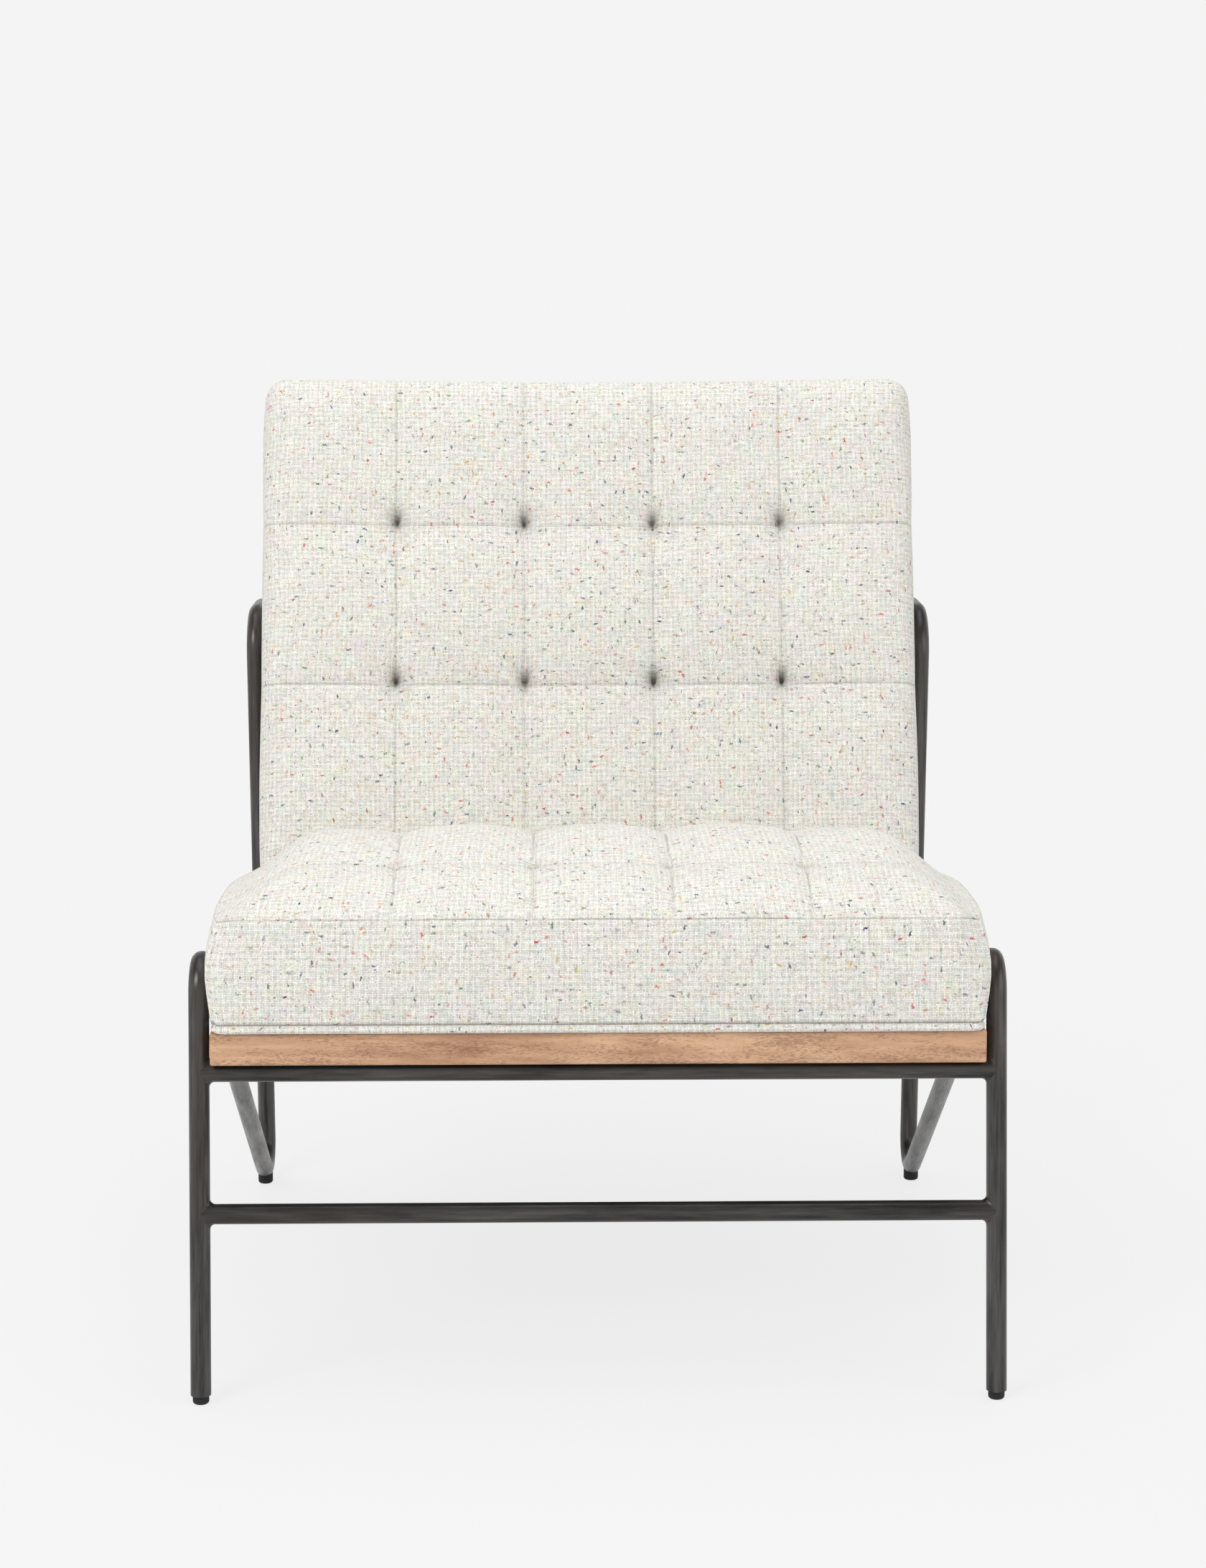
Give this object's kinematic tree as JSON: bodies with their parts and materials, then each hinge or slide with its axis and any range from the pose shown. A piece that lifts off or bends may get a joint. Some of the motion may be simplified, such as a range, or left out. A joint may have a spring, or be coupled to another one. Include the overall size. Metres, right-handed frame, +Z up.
{
  "type": "accent chair",
  "caption": "Armless lounge chair: bent tube side frames with crossbars, a pale wood seat frame, and biscuit-tufted seat and reclined back in flecked cream fabric.",
  "frame": {"origin": "on the floor, under the middle of the chair's width and depth", "axes": "+Z up, -Y towards the front of the seat, +X to the right as seen from the front"},
  "size_m": [0.711, 0.7912, 0.8532],
  "materials": {
    "frame_steel": "rubbed gunmetal lacquer, satin",
    "tab_steel": "gunmetal lacquer, satin",
    "zinc": "zinc plated",
    "glide_rubber": "matt",
    "plug_plastic": "matt",
    "toggle_plastic": "matt",
    "oak": "clear matt oil",
    "beech": "bare",
    "plywood": "bare",
    "webbing": "woven jute and elastic",
    "lining": "felt",
    "dust_cloth": "spun-bonded cloth",
    "fabric": "flecked plain weave",
    "welt_fabric": "flecked plain weave",
    "foam": "upholstery foam",
    "twine": "waxed tufting twine"
  },
  "bodies": {
    "root": {"left_side_frame": "frame_steel", "right_side_frame": "frame_steel", "front_seat_crossbar": "frame_steel", "front_stretcher": "frame_steel", "rear_seat_crossbar": "frame_steel", "back_crossbar": "frame_steel", "front_glides": "glide_rubber", "rear_glides": "glide_rubber", "rear_glide_screws": "zinc", "tube_end_plugs": "plug_plastic", "front_rail": "oak", "rear_rail": "oak", "left_rail": "oak", "right_rail": "oak", "rail_dowels": "beech", "corner_blocks": "beech", "front_seat_tabs": "tab_steel", "rear_seat_tabs": "tab_steel", "seat_screws": "zinc", "long_straps": "webbing", "cross_straps": "webbing", "seat_lining": "lining", "dust_cover": "dust_cloth", "seat_cover": "fabric", "seat_foam": "foam", "seat_welt": "welt_fabric", "seat_tuft_twine": "twine", "back_cover": "fabric", "back_foam": "foam", "back_panel": "plywood", "back_tuft_twine": "twine", "twine_toggles": "toggle_plastic", "back_tee_nuts": "zinc", "back_tabs": "tab_steel", "back_bolts": "zinc", "back_brackets": "zinc", "bracket_screws": "zinc"}
  },
  "joints": []
}
